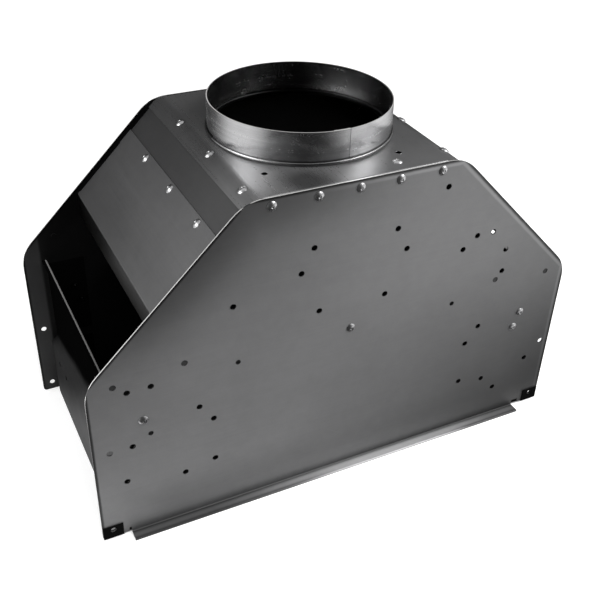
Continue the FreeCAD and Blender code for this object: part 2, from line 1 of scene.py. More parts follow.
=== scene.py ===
# %% [markdown]
# # A draft diverter in coated sheet steel
# A draft diverter stands on top of a gas boiler. Flue gas rises into its open bottom, room air
# comes in through a gap at each end, and both leave through the round collar on top.
#
# All the sheets come from the packed frame with their true bends, hems and holes, so this file
# is about what makes them look like metal: finishes worked out from a place on the object, set
# rivets, the burrs of punched holes, and a plain studio around it.

# %% Load the frame
import math
import bmesh
import bpy
from mathutils import Matrix, Vector


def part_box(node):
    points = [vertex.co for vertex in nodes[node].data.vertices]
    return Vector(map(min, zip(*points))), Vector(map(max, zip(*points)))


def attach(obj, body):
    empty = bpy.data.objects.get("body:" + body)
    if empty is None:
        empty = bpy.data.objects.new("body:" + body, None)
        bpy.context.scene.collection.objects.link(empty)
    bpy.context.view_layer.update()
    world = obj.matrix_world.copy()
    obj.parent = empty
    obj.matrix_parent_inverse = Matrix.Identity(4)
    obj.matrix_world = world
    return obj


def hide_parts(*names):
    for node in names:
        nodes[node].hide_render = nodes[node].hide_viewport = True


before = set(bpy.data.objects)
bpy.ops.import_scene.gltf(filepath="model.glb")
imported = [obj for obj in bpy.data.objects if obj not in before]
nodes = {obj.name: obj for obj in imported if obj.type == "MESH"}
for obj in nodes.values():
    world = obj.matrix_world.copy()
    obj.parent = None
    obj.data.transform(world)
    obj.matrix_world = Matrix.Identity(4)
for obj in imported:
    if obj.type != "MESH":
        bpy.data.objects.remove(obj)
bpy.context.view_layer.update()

MM = 0.001

# %% [markdown]
# ## Sizes read from the frame
# Every pattern below is laid out from a handful of sizes. They are measured on the frame's own
# nodes and not typed in, so the finish stays in place if the sheet metal is redrawn: the panels
# give the width, height and depth, the collar its radius and the end walls their ledge.

# %% Measure the frame
_, panel_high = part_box("front_panel")
plate_low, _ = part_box("top_plate")
_, collar_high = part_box("flue_collar")
wall_low, wall_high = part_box("left_end_wall")
SHEET = 1 * MM
HALF_WIDTH = panel_high.x
ROOF_TOP = panel_high.z
FACE = -plate_low.y + SHEET
RIM = collar_high.z
COLLAR_RADIUS = collar_high.x
LEDGE = wall_high.z
WALL_OUT = -wall_low.x
print("panel face at", round(FACE / MM, 2), "mm, ledge at", round(LEDGE / MM, 1), "mm")
print("end walls reach", round(WALL_OUT / MM, 2), "mm from the middle")

# %% [markdown]
# ## Shader maths as plain expressions
# A procedural finish is a sum on paper: tone = base * (1 + 0.1 * cloud). Typed as nodes it is
# a page of boxes. One small class wraps a socket and gives it Python's operators, and each
# operator adds the Math node it stands for. The reflected forms are there as well, so that
# 1 - mask works. Everything that isn't arithmetic goes through one method that takes a node's
# type, its settings and its inputs. The tool used most is the step: a smooth change from one
# level to another, at a chosen place.

# %% Wrap sockets
class Value:
    """A number on its way through a node tree."""

    def __init__(self, tree, socket):
        self.tree = tree
        self.socket = socket

    def maths(self, operation, *others):
        inputs = dict(enumerate((self,) + others))
        return self.tree.add("ShaderNodeMath", {"operation": operation}, inputs)

    def __add__(self, other):
        return self.maths("ADD", other)

    def __radd__(self, other):
        return self.maths("ADD", other)

    def __sub__(self, other):
        return self.maths("SUBTRACT", other)

    def __rsub__(self, other):
        return (self * -1) + other

    def __mul__(self, other):
        return self.maths("MULTIPLY", other)

    def __rmul__(self, other):
        return self.maths("MULTIPLY", other)

    def __truediv__(self, other):
        return self.maths("DIVIDE", other)

    def __pow__(self, other):
        return self.maths("POWER", other)

    def __abs__(self):
        return self.maths("ABSOLUTE")

    def least(self, other):
        return self.maths("MINIMUM", other)

    def most(self, other):
        return self.maths("MAXIMUM", other)

    def sine(self):
        return self.maths("SINE")

    def cosine(self):
        return self.maths("COSINE")

    def above(self, other):
        return self.maths("GREATER_THAN", other)

    def step(self, start, end, before=0.0, after=1.0):
        """One level up to start, another from end on, and a smooth way between them."""
        settings = {"interpolation_type": "SMOOTHSTEP"}
        inputs = {"Value": self, "From Min": start, "From Max": end}
        inputs |= {"To Min": before, "To Max": after}
        return self.tree.add("ShaderNodeMapRange", settings, inputs)


class Tree:
    """Adds nodes to a node tree."""

    def __init__(self, node_tree):
        self.nodes = node_tree.nodes
        self.links = node_tree.links

    def make(self, kind, settings=None, inputs=None):
        """A node with its settings made first and its sockets filled or linked after them."""
        node = self.nodes.new(kind)
        for name, setting in (settings or {}).items():
            setattr(node, name, setting)
        for key, given in (inputs or {}).items():
            if isinstance(given, Value):
                self.links.new(given.socket, node.inputs[key])
            else:
                node.inputs[key].default_value = given
        return node

    def add(self, kind, settings=None, inputs=None, output=0):
        return Value(self, self.make(kind, settings, inputs).outputs[output])

    def parts(self, vector):
        """The three numbers of a vector."""
        node = self.make("ShaderNodeSeparateXYZ", inputs={0: vector})
        return [Value(self, socket) for socket in node.outputs]

    def joined(self, x, y, z):
        return self.add("ShaderNodeCombineXYZ", inputs={0: x, 1: y, 2: z})

    def blend(self, factor, first, second):
        """A colour between two colours."""
        inputs = {0: factor, 6: first, 7: second}
        return self.add("ShaderNodeMix", {"data_type": "RGBA"}, inputs, 2)


print("besides arithmetic:", [name for name in vars(Value) if not name.startswith("_")])

# %% [markdown]
# ## The marks that a mill and a press leave
# Coated steel sheet isn't one colour. It has soft clouds where the coating ran thicker, fine
# lines from the rolls, a grain of about a millimetre, and thin scratches from being stacked and
# handled. Painted pictures could hold all that, but noise on Object coordinates needs no
# unwrapping, stays sharp at any distance and is at its true scale on every sheet, because the
# coordinates are metres. Each mark is a function that returns a number, mostly about 0.

# %% Marks of the sheet
CLOUD_ROUGHNESS = 0.55
SCRATCH_ANGLES = (-34, 11, 52)
SCRATCH_LENGTH = 60 * MM
SCRATCH_WIDTH = 0.7 * MM
SCRATCH_LEVELS = (0.62, 0.8)
HANDLED_SIZE = 45 * MM
HANDLED_LEVELS = (0.1, 0.5)


def clouds(tree, place, size, detail=3.0, seed=0.0):
    """Soft blotches of about a given size in metres, from -1 to 1."""
    inputs = {"Vector": place, "W": seed, "Scale": 1 / size, "Detail": detail,
              "Roughness": CLOUD_ROUGHNESS}
    return tree.add("ShaderNodeTexNoise", {"noise_dimensions": "4D"}, inputs) * 2 - 1


def stretched(tree, place, along, size, length):
    """The place squeezed along one axis, so that a noise of that size is drawn out into lines."""
    scales = [1.0, 1.0, 1.0]
    scales[along] = size / length
    inputs = {0: place, 1: scales}
    return tree.add("ShaderNodeVectorMath", {"operation": "MULTIPLY"}, inputs)


def turned(tree, place, angle, axis):
    """The place turned about an axis, so that a pattern runs askew."""
    settings = {"rotation_type": "AXIS_ANGLE"}
    inputs = {"Vector": place, "Axis": axis, "Angle": math.radians(angle)}
    return tree.add("ShaderNodeVectorRotate", settings, inputs)


def scratches(tree, place, along, axis):
    """Thin straight handling marks, 1 in a scratch and 0 elsewhere."""
    total = None
    for index, angle in enumerate(SCRATCH_ANGLES):
        askew = turned(tree, place, angle, axis)
        lines = stretched(tree, askew, along, SCRATCH_WIDTH, SCRATCH_LENGTH)
        mark = clouds(tree, lines, SCRATCH_WIDTH, detail=0.0, seed=4.0 + index)
        handled = clouds(tree, place, HANDLED_SIZE, detail=1.0, seed=9.0 + index)
        found = mark.step(*SCRATCH_LEVELS) * handled.step(*HANDLED_LEVELS)
        total = found if total is None else total.most(found)
    return total


print("scratches about", round(SCRATCH_LENGTH / MM), "mm long in", len(SCRATCH_ANGLES), "ways")

# %% [markdown]
# ## One recipe for every sheet
# The panels, roof, collar and end walls are all steel sheet, so one function makes all their
# finishes and takes what differs: tone, gloss, the way the rolls ran and where the sheet was
# cut. Metal without paint would be Metallic 1. This coating is satin, part metal and part
# matt film, so Metallic stays below 1. The marks change the tone, the roughness and the height,
# each by its own share: a scratch is brighter and smoother than the sheet, and lies deeper.
#
# Only Base Color, Roughness, Metallic and Normal take links. What is the same all over, such as
# the way the brushing stretches a highlight, is set on the shader's own socket.

# %% The sheet recipe
ALONG_X, ALONG_Y, ALONG_Z = range(3)
AXIS_X, AXIS_Y, AXIS_Z = (1, 0, 0), (0, 1, 0), (0, 0, 1)
CUT_METAL = 0.6
CUT_SMOOTHER = 0.3
CUT_WARMTH = 0.01
COOL_TINT = 1.012
MOTTLE_SIZE = 9 * MM
ROLL_WIDTH = 1.2 * MM
ROLL_LENGTH = 150 * MM
GRAIN_SIZE = 1.1 * MM
BUMP_HEIGHT = 0.05 * MM
TONE_SHARES = {"mottling": 0.08, "grain": 0.05, "scratches": 0.25}
ROUGHNESS_SHARES = {"clouds": 0.05, "rolling": 0.04, "grain": 0.03, "scratches": -0.08}
HEIGHT_SHARES = {"clouds": 4.0, "rolling": 0.3, "grain": 0.5, "scratches": -1.5}


def object_place(tree):
    return tree.add("ShaderNodeTexCoord", output=3)


def surface_normal(tree):
    """The three numbers of the surface's true direction."""
    return tree.parts(tree.add("ShaderNodeNewGeometry", output=3))


def looks_away(way, place, reach):
    """1 where a surface looks away from the object's middle along an axis, 0 where it doesn't."""
    return (way * place).step(0.2 * reach, 0.5 * reach)


def grey(level, warmth=0.0):
    """A nearly neutral grey, a touch warm or cool."""
    return (level * (1 + warmth), level, level * (1 - warmth), 1.0)


def new_material(name):
    material = bpy.data.materials.new(name)
    material.use_nodes = True
    tree = Tree(material.node_tree)
    shader = next(node for node in tree.nodes if node.type == "BSDF_PRINCIPLED")
    return material, tree, shader


def sheet_marks(tree, sheet, along, face_axis, cloud_size, handled):
    """The marks of one sheet, by name. face_axis is the way that its two faces look."""
    lines = stretched(tree, sheet, along, ROLL_WIDTH, ROLL_LENGTH)
    return {
        "clouds": clouds(tree, sheet, cloud_size, seed=1.0),
        "mottling": clouds(tree, sheet, MOTTLE_SIZE, seed=7.0),
        "rolling": clouds(tree, lines, ROLL_WIDTH, detail=2.0, seed=2.0),
        "grain": clouds(tree, sheet, GRAIN_SIZE, detail=1.0, seed=3.0),
        "scratches": scratches(tree, sheet, along, face_axis) * handled,
    }


def weighed(marks, shares):
    """The sum of some marks, each times its share."""
    return sum(marks[name] * share for name, share in shares.items())


def sheet_steel(name, level, rough, metal, along, face_axis, shade=None, edge=None,
                edge_level=0.5, streaks=0.06, cloudiness=0.10, cloud_size=70 * MM, gloss=0.5,
                brushing=0.0, relief=0.25, handled=1.0, flat_place=object_place):
    """Satin coated sheet. shade returns a factor for the tone and edge a mask of raw cut edges."""
    material, tree, shader = new_material(name)
    place = object_place(tree)
    marks = sheet_marks(tree, flat_place(tree), along, face_axis, cloud_size, handled)
    shares = TONE_SHARES | {"clouds": cloudiness, "rolling": streaks}
    tone = (weighed(marks, shares) + 1) * level
    if shade:
        tone = tone * shade(tree, place)
    colour = tree.joined(tone, tone, tone * COOL_TINT)
    roughness = weighed(marks, ROUGHNESS_SHARES) + rough
    shader.inputs["Metallic"].default_value = metal
    if edge:
        mask = edge(tree, place)
        colour = tree.blend(mask, colour, grey(edge_level, CUT_WARMTH))
        roughness = roughness * (1 - mask * CUT_SMOOTHER)
        tree.links.new((mask * (CUT_METAL - metal) + metal).socket, shader.inputs["Metallic"])
    shader.inputs["Specular IOR Level"].default_value = gloss
    shader.inputs["Anisotropic"].default_value = brushing
    tree.links.new(colour.socket, shader.inputs["Base Color"])
    tree.links.new(roughness.socket, shader.inputs["Roughness"])
    height = weighed(marks, HEIGHT_SHARES)
    bump_inputs = {"Height": height, "Strength": relief, "Distance": BUMP_HEIGHT}
    bump = tree.add("ShaderNodeBump", inputs=bump_inputs)
    tree.links.new(bump.socket, shader.inputs["Normal"])
    return material


def dress(material, *names):
    """Gives CAD nodes a finish, in each of their material slots."""
    for name in names:
        mesh = nodes[name].data
        if not mesh.materials:
            mesh.materials.append(material)
        for index in range(len(mesh.materials)):
            mesh.materials[index] = material
    print(material.name, "on", ", ".join(names))


# %% [markdown]
# ## The gable panels
# The front and back panels have the same outline. It shows as a bright line: bare steel where
# the shears cut through the coating, painted brighter as a highlight. Beside it runs a line of
# painted shade. The cut is found by the direction of its faces: a panel's two faces look along
# Y, so whatever looks along X or Z above the lip is a cut. The dark line needs the distance to
# the outline, which is a minimum of three straight-line distances. Hole walls look along X and Z
# as well, but lie farther in, and they are painted dark as shade. On the low upright sides the
# cut is painted duller, as shade.
#
# The panel's tone carries painted light and shade. One pair of its corners is painted brighter
# than the other, as a twisted panel would show them. That is a product of two straight ramps, a
# saddle. The tone is also painted lightest in the middle and darker towards the edges, to the
# right and at the top, most of all on the left shoulder, and a painted highlight runs inside
# the rolled-over edge on the right. Painted shade darkens the foot of the panel, the crease above
# the lip, the pockets that the press left and the side that faces the gas. The lip has a painted
# highlight to the right of its middle, where the painted shade along its hem is left out as well.

# %% Find a panel's edges
CHAMFER_SUM = 383.5 * MM
CORNER_SLOPE = math.sqrt(0.5)
FACE_ON = (0.4, 0.8)
ABOVE_LIP = 10 * MM
CUT_WIDTH = 1 * MM
# Below these heights the cut is painted duller, as shade on the low upright sides.
CUT_SHADE_BELOW = 120 * MM
CUT_LIT_ABOVE = 155 * MM
CUT_SHADE_LEVEL = 0.15


def outline_distance(tree, place):
    """How far inside a panel's outline a place is, in metres."""
    x, _, z = tree.parts(place)
    side = HALF_WIDTH - abs(x)
    top = ROOF_TOP - z
    chamfer = (CHAMFER_SUM - abs(x) - z) * CORNER_SLOPE
    return side.least(top).least(chamfer)


def across_sheet(tree, place):
    """1 on the faces of a panel that look along X or Z, its cuts and hole walls."""
    _, facing, _ = surface_normal(tree)
    _, _, z = tree.parts(place)
    return abs(facing).step(*FACE_ON, 1, 0) * z.step(ABOVE_LIP - 1 * MM, ABOVE_LIP)


def panel_edge(tree, place):
    """The bright cut around a panel, with painted shade on its low upright sides."""
    _, _, z = tree.parts(place)
    lit_cut = z.step(CUT_SHADE_BELOW, CUT_LIT_ABOVE, before=CUT_SHADE_LEVEL)
    rim = outline_distance(tree, place).step(CUT_WIDTH, 2 * CUT_WIDTH, 1, 0)
    return across_sheet(tree, place) * rim * lit_cut


# %% Shade a panel's lip
RAGGED_SIZE = 6 * MM
HEM_TOP = 2.3 * MM
CREASE_TOP = 12 * MM
# Painted shade in the crease, on the foot, the bend and the hem; a painted highlight on the lip.
CREASE_TONE = 0.6
FOOT_TOP = 60 * MM
FOOT_SHADE_LEFT = 0.5
FOOT_SHADE_RIGHT = 0.2
BEND = (0.5 * MM, 4.5 * MM)
BEND_TONE = 0.25
LIP_HIGHLIGHT = (-140 * MM, 90 * MM)
LIP_TONES = (0.42, 3.52)
LIP_END = (110 * MM, 170 * MM)
LIP_END_LOSS = 1.3
HEM_UNSHADED = (-60 * MM, 0.0)
HEM_UNSHADED_END = (100 * MM, 140 * MM)
HEM_EDGE = (6 * MM, 9 * MM)
HEM_SHADE = 0.6


def lip_shade(tree, place):
    """Painted shade in the crease, on the foot and on the hem, and a painted highlight on the lip.
    """
    x, y, z = tree.parts(place)
    ragged = clouds(tree, place, RAGGED_SIZE, detail=2.0, seed=8.0) * 2 * MM
    crease = (z + ragged).step(HEM_TOP, CREASE_TOP, before=CREASE_TONE)
    foot_shade = x.step(-180 * MM, 0.0, FOOT_SHADE_LEFT, FOOT_SHADE_RIGHT)
    above = crease * (1 - z.step(0.0, FOOT_TOP, 1, 0) * foot_shade)
    out = abs(y) - FACE
    lip_highlight = x.step(*LIP_HIGHLIGHT, *LIP_TONES) - x.step(*LIP_END, 0, LIP_END_LOSS)
    hem_unshaded = x.step(*HEM_UNSHADED) - x.step(*HEM_UNSHADED_END)
    hem = 1 - out.step(*HEM_EDGE, 0, HEM_SHADE) * (1 - hem_unshaded)
    lip = lip_highlight * out.step(*BEND, before=BEND_TONE) * hem
    on_lip = out.step(0.3 * MM, 1.5 * MM)
    return above * (1 - on_lip) + lip * on_lip


# %% Finish the panels
# Painted shade in a line beside the cut and on the left shoulder, painted highlight on the right.
EDGE_SHADE_LINE = (1.2 * MM, 2.8 * MM)
EDGE_SHADE_TONE = 0.2
GLINT = 0.45
SHOULDER_SHADE = 0.45
SHOULDER_WIDTH = 50 * MM
# Painted light and shade: a saddle, darker to the right and the top, lightest in the middle.
SADDLE_HEIGHT = 120 * MM
SADDLE_LIGHT = 0.52
RIGHTWARD_SHADE = 0.3
EDGE_FALLOFF = 0.3
TOP_SHADE = 0.88
POCKET_FLOOR = FACE - 0.3 * MM
# Painted shade in the pockets, on the hole walls and on the inner face of the panel.
POCKET_SHADE = 0.75
HOLE_SHADE = 0.85
INNER_SHADE_INSIDE = 0.97
INNER_SHADE_BESIDE = 0.8


def rim_shade(tree, place):
    """Painted shade beside the cut and on the left shoulder, and a painted highlight on the right.
    """
    x, _, z = tree.parts(place)
    ragged = clouds(tree, place, RAGGED_SIZE, detail=2.0, seed=5.0) * 0.3 * MM
    rim = outline_distance(tree, place) + ragged
    edge_shade = rim.step(*EDGE_SHADE_LINE, before=EDGE_SHADE_TONE)
    right_half = x.step(-60 * MM, 60 * MM)
    glint = rim.step(2.4 * MM, 3.4 * MM) * rim.step(4.4 * MM, 6 * MM, 1, 0) * right_half
    high = z.step(150 * MM, 230 * MM)
    shoulder = rim.step(0.0, SHOULDER_WIDTH, 1, 0) * high * (1 - right_half)
    return edge_shade * (glint * GLINT + 1) * (1 - shoulder * SHOULDER_SHADE)


def slow_shade(tree, place):
    """Painted light and shade over a panel: a saddle, darker to the right and at the top, lightest
    in the middle.
    """
    x, _, z = tree.parts(place)
    darker_right = x * (-RIGHTWARD_SHADE / HALF_WIDTH) + 1
    saddle = x * (z - SADDLE_HEIGHT) * (SADDLE_LIGHT / (HALF_WIDTH * SADDLE_HEIGHT)) + 1
    middle = (x * x + (z - SADDLE_HEIGHT) ** 2) * (-EDGE_FALLOFF / HALF_WIDTH ** 2) + 1
    shaded_top = z.step(0.5 * ROOF_TOP, ROOF_TOP, 1, TOP_SHADE)
    return darker_right * saddle * middle * shaded_top


def recess_shade(tree, place):
    """Painted shade in the pressed pockets and the holes, and on the side that faces the gas."""
    x, y, _ = tree.parts(place)
    _, facing, _ = surface_normal(tree)
    sunk = abs(y).step(POCKET_FLOOR - 0.05 * MM, POCKET_FLOOR + 0.05 * MM, 1, 0)
    pocket = looks_away(facing, y, FACE) * sunk
    hole_wall = across_sheet(tree, place) * outline_distance(tree, place).step(2 * MM, 3 * MM)
    inner_shade = abs(x).step(WALL_OUT - 3 * MM, WALL_OUT, INNER_SHADE_INSIDE, INNER_SHADE_BESIDE)
    gas_side = looks_away(facing * -1, y, FACE)
    return (1 - pocket * POCKET_SHADE) * (1 - hole_wall * HOLE_SHADE) * (1 - gas_side * inner_shade)


def panel_shade(tree, place):
    light = rim_shade(tree, place) * slow_shade(tree, place)
    return light * lip_shade(tree, place) * recess_shade(tree, place)


panel_steel = sheet_steel("panel_steel", level=0.172, rough=0.44, metal=0.4, along=ALONG_X,
                          face_axis=AXIS_Y, shade=panel_shade, edge=panel_edge, edge_level=0.8,
                          cloudiness=0.12, gloss=0.2)
dress(panel_steel, "front_panel", "back_panel")

# %% [markdown]
# ## The roof
# The roof is three kinds of sheet: the flat top plate, the slope sheets with a lip turned down,
# and a strip under the joint between them, painted darker as shade where the two leave it bare.
# The folded edge of the top plate has painted light at the front and painted shade at the back.
# The rolls ran from the front panel to the back one. The roof is painted darker towards the back,
# where it looks down and low on the slopes, and a painted dark reflection of the collar lies in
# front of it. The top plate is the smoothest of these sheets, so it has the least relief.

# %% Finish the roof
AXIS_SLOPE = (-math.sqrt(0.5), 0, math.sqrt(0.5))
# Painted shade: the roof darkens towards the back, and the slopes darken towards their foot.
BACKWARD_SHADE = 0.2
LOWER_SLOPE = (215 * MM, 250 * MM)
LOWER_TONE = 0.75
FOLD = (79 * MM, 85 * MM)
FOLD_FADES = (-95 * MM, -10 * MM)
FOLD_CHANGES = (0.1, -0.3)
DARK_REFLECTION_AT = (-38 * MM, -92 * MM)
DARK_REFLECTION_EDGE = (6 * MM, 30 * MM)
DARK_REFLECTION_TONE = 0.35


def roof_shade(tree, place):
    """Painted shade: darker towards the back, and dark where the sheet looks down."""
    _, y, _ = tree.parts(place)
    _, _, up = surface_normal(tree)
    return (y * (-BACKWARD_SHADE / FACE) + 1) * up.step(0.1, 0.5)


def slope_shade(tree, place):
    _, _, z = tree.parts(place)
    return roof_shade(tree, place) * z.step(*LOWER_SLOPE, before=LOWER_TONE)


def top_shade(tree, place):
    x, y, _ = tree.parts(place)
    # Painted light at the front of the fold and painted shade at its back.
    folded = abs(x).step(*FOLD) * y.step(*FOLD_FADES, *FOLD_CHANGES) + 1
    # A painted dark reflection of the collar's front, on the plate in front of it.
    reach = ((x - DARK_REFLECTION_AT[0]) ** 2 + (y - DARK_REFLECTION_AT[1]) ** 2) ** 0.5
    ragged = clouds(tree, place, 20 * MM, seed=12.0) * 5 * MM
    dark_reflection = (reach + ragged).step(*DARK_REFLECTION_EDGE, before=DARK_REFLECTION_TONE)
    return roof_shade(tree, place) * folded * dark_reflection


top_steel = sheet_steel("top_steel", level=0.20, rough=0.29, metal=0.7, along=ALONG_Y,
                        face_axis=AXIS_Z, shade=top_shade, relief=0.1, handled=0.4)
slope_steel = sheet_steel("slope_steel", level=0.138, rough=0.36, metal=0.6, along=ALONG_Y,
                          face_axis=AXIS_SLOPE, shade=slope_shade, gloss=0.2)
# The shoulder strips are painted at about half the slope's tone, as shade.
shoulder_steel = sheet_steel("shoulder_steel", level=0.077, rough=0.38, metal=0.6, along=ALONG_Y,
                             face_axis=AXIS_SLOPE, shade=roof_shade, gloss=0.2)
dress(top_steel, "top_plate")
dress(slope_steel, "left_slope_sheet", "right_slope_sheet")
dress(shoulder_steel, "left_shoulder", "right_shoulder")

# %% [markdown]
# ## The collar
# The collar is a strip of brighter sheet, rolled into a ring and lapped. Its zinc is bare, so
# it is fully metallic. The rolls drew fine lines around it. To make them follow the ring, the
# noise isn't read at the place itself but at the place on the flat strip: the direction from
# the axis times the radius is the way along the strip, and the cut is at the lapped seam.
#
# Such lines also stretch every reflection up and down, which gives a brushed ring its upright
# bands of light. Anisotropic does that, and it turns around Z by itself, so the ring needs no
# UV map. Its upper rim is a bare cut, painted brighter as a highlight, and the bead at its foot
# has painted shade at the front and to the right. Inside, where a surface looks towards the
# ring's own axis, the tone is painted dark as shade, with five painted bands of reflected light
# above the roof.

# %% Finish the collar
SEAM_AT = -86
LIGHT_BANDS = 5
LIGHT_BAND_AT = math.radians(30)
LIGHT_BAND_TONE = 1.7
INSIDE_SHADE_TONE = 0.03
BEAD_TOP = ROOF_TOP + 5 * MM
BEAD_SHADE_SPAN = (math.radians(-155), math.radians(-110))
BEAD_SHADE = 0.6


def looks_out(tree, place):
    """1 on the outside of the ring and 0 on its inside and its underside."""
    across, along, _ = surface_normal(tree)
    x, y, _ = tree.parts(place)
    return (across * x + along * y).step(0.1 * COLLAR_RADIUS, 0.3 * COLLAR_RADIUS)


def unrolled(tree):
    """A place on the strip that the ring was rolled from, cut open at its lapped seam."""
    x, y, z = tree.parts(turned(tree, object_place(tree), 180 - SEAM_AT, AXIS_Z))
    reach = (x * x + y * y) ** 0.5
    return tree.joined(y.maths("ARCTAN2", x) * COLLAR_RADIUS, reach, z)


def collar_edge(tree, place):
    """The bare cut on top of the rim, painted brighter as a highlight."""
    _, _, up = surface_normal(tree)
    _, _, z = tree.parts(place)
    return up.step(0.6, 0.9) * z.step(RIM - 0.4 * MM, RIM - 0.2 * MM)


def collar_shade(tree, place):
    _, _, up = surface_normal(tree)
    x, y, z = tree.parts(place)
    direction = y.maths("ARCTAN2", x)
    # Painted light: five bands of reflection inside, above the roof; below it painted shade.
    bands = ((direction - LIGHT_BAND_AT) * LIGHT_BANDS).cosine() + LIGHT_BAND_TONE
    lit_inside = z.step(ROOF_TOP, ROOF_TOP + 6 * MM) * up.step(0.1, 0.4, 1, 0) * bands
    # Painted shade on the bead, at the front and to the right.
    bead = z.step(BEAD_TOP - 1 * MM, BEAD_TOP, 1, 0)
    shaded_bead = direction.step(*BEAD_SHADE_SPAN, 0, BEAD_SHADE) * bead
    outside = looks_out(tree, place)
    return (1 - outside) * (lit_inside + INSIDE_SHADE_TONE) + outside * (1 - shaded_bead)


collar_steel = sheet_steel("collar_steel", level=0.36, rough=0.25, metal=1.0, along=ALONG_X,
                           face_axis=AXIS_Y, shade=collar_shade, edge=collar_edge,
                           edge_level=0.9, streaks=0.28, cloudiness=0.2, cloud_size=16 * MM,
                           brushing=0.8, relief=0.06, handled=0.0, flat_place=unrolled)
dress(collar_steel, "flue_collar", "collar_rivet")

# %% [markdown]
# ## The end walls and the deflector
# These stand in the gas stream. The upper part of each end wall, and all of the deflector, are
# painted black as shade, while the outside of the joggled foot, which stands on the boiler, is
# grey and painted darker upwards and to the back. Their inner faces are painted black as shade
# too. The inner edge of the ledge on top of the wall has a painted highlight. These black sheets
# are neither metal nor glossy, so their Metallic and their specular level are 0.

# %% Finish the walls
BLACK_GLOSS = 0.0
WALL_SHADE_TONE = 0.015
WALL_SHADE_LINE = (80 * MM, 96 * MM)
WALL_SHADE_RISE = 0.25
FOOT_FADE = (30 * MM, 85 * MM)
FOOT_FADE_RISE = 0.6
FOOT_FADE_TONE = 0.22
LEDGE_HIGHLIGHT = (1.2 * MM, 1.8 * MM)
wall_corners = [vertex.co for vertex in nodes["left_end_wall"].data.vertices]
LEDGE_INSIDE = -max(corner.x for corner in wall_corners if corner.z > LEDGE - 1 * MM)


def wall_shade(tree, place):
    # Painted shade: black above a ragged line and on the inner faces; the foot darkens up and
    # back.
    x, y, z = tree.parts(place)
    across, _, _ = surface_normal(tree)
    ragged = clouds(tree, place, 25 * MM, seed=6.0) * 6 * MM
    foot = (z + y * WALL_SHADE_RISE + ragged).step(*WALL_SHADE_LINE, 1, 0)
    faded_foot = (z + y * FOOT_FADE_RISE + ragged).step(*FOOT_FADE, 1, FOOT_FADE_TONE)
    unshaded = foot * faded_foot * looks_away(across, x, WALL_OUT)
    return unshaded * (1 - WALL_SHADE_TONE) + WALL_SHADE_TONE


def wall_edge(tree, place):
    """A painted highlight on the inner edge of the ledge."""
    _, _, up = surface_normal(tree)
    x, _, z = tree.parts(place)
    inner_edge = (abs(x) - LEDGE_INSIDE).step(*LEDGE_HIGHLIGHT, 1, 0)
    return up.step(0.3, 0.7) * z.step(LEDGE - 2 * MM, LEDGE - 0.5 * MM) * inner_edge


end_steel = sheet_steel("end_steel", level=0.10, rough=0.55, metal=0.0, along=ALONG_Y,
                        face_axis=AXIS_X, shade=wall_shade, edge=wall_edge, edge_level=0.4,
                        gloss=BLACK_GLOSS)
# The deflector is painted black all over, as the shade inside the box.
black_shade_steel = sheet_steel("black_shade_steel", level=0.01, rough=0.6, metal=0.0, along=ALONG_Y,
                          face_axis=AXIS_Z, gloss=BLACK_GLOSS)
dress(end_steel, "left_end_wall", "right_end_wall")
dress(black_shade_steel, "deflector")

# %% [markdown]
# ## Fixings
# Blind rivets are plated steel, a little duller than the collar, with tails on the side of the
# gas painted dark as shade. Clip nuts are near black and have no gloss.

# %% Finish the fixings
ROOF_SUM = 377 * MM
TAIL_SHADE = 0.02


def rivet_shade(tree, place):
    """Painted shade: dark for the tails, inside the box, and 1 for the heads."""
    x, y, z = tree.parts(place)
    on_panel = abs(y).step(FACE - 2 * MM, FACE - 1 * MM)
    on_slope = (abs(x) + z).step(ROOF_SUM - 4 * MM, ROOF_SUM - 1 * MM)
    on_top = z.step(ROOF_TOP - 1 * MM, ROOF_TOP)
    return on_panel.most(on_slope).most(on_top) * (1 - TAIL_SHADE) + TAIL_SHADE


rivet_steel = sheet_steel("rivet_steel", level=0.38, rough=0.30, metal=0.95, along=ALONG_Z,
                          face_axis=AXIS_Z, shade=rivet_shade, streaks=0.02)
clip_steel = sheet_steel("clip_steel", level=0.004, rough=0.6, metal=0.0, along=ALONG_X,
                         face_axis=AXIS_Y, gloss=0.0)
dress(clip_steel, "clip_nuts")

# %% [markdown]
# ## Where the rivets sit
# The frame's rivets are plain turned solids. Detailed ones take their places, so the script
# needs to know where each sits and which way it points. Every rivet is an island of its node's
# mesh. The flat ring under its head is the largest area that looks in one direction, straight
# into the sheet, so that ring gives both the place and the direction, on the flat panels and on
# the sloping roof alike.

# %% Find the rivets
MERGE = 0.001 * MM
SQUARE_ON = 0.999
RING_DEPTH = 0.1 * MM


def merged_copy(name):
    """A welded copy of a node's loose triangles."""
    welded = bmesh.new()
    welded.from_mesh(nodes[name].data)
    bmesh.ops.remove_doubles(welded, verts=welded.verts, dist=MERGE)
    welded.normal_update()
    return welded


def islands(faces):
    """Groups of faces that hang together by their edges, in the order of the mesh."""
    waiting = {face.index: face for face in faces}
    groups = []
    while waiting:
        queue = [waiting.pop(min(waiting))]
        group = []
        while queue:
            face = queue.pop()
            group.append(face)
            for edge in face.edges:
                for other in edge.link_faces:
                    if other.index in waiting:
                        queue.append(waiting.pop(other.index))
        groups.append(group)
    return groups


def middle_of(faces):
    """The middle of some faces, weighed by their area."""
    areas = [face.calc_area() for face in faces]
    centres = [face.calc_center_median() * area for face, area in zip(faces, areas)]
    return sum(centres, Vector()) / sum(areas)


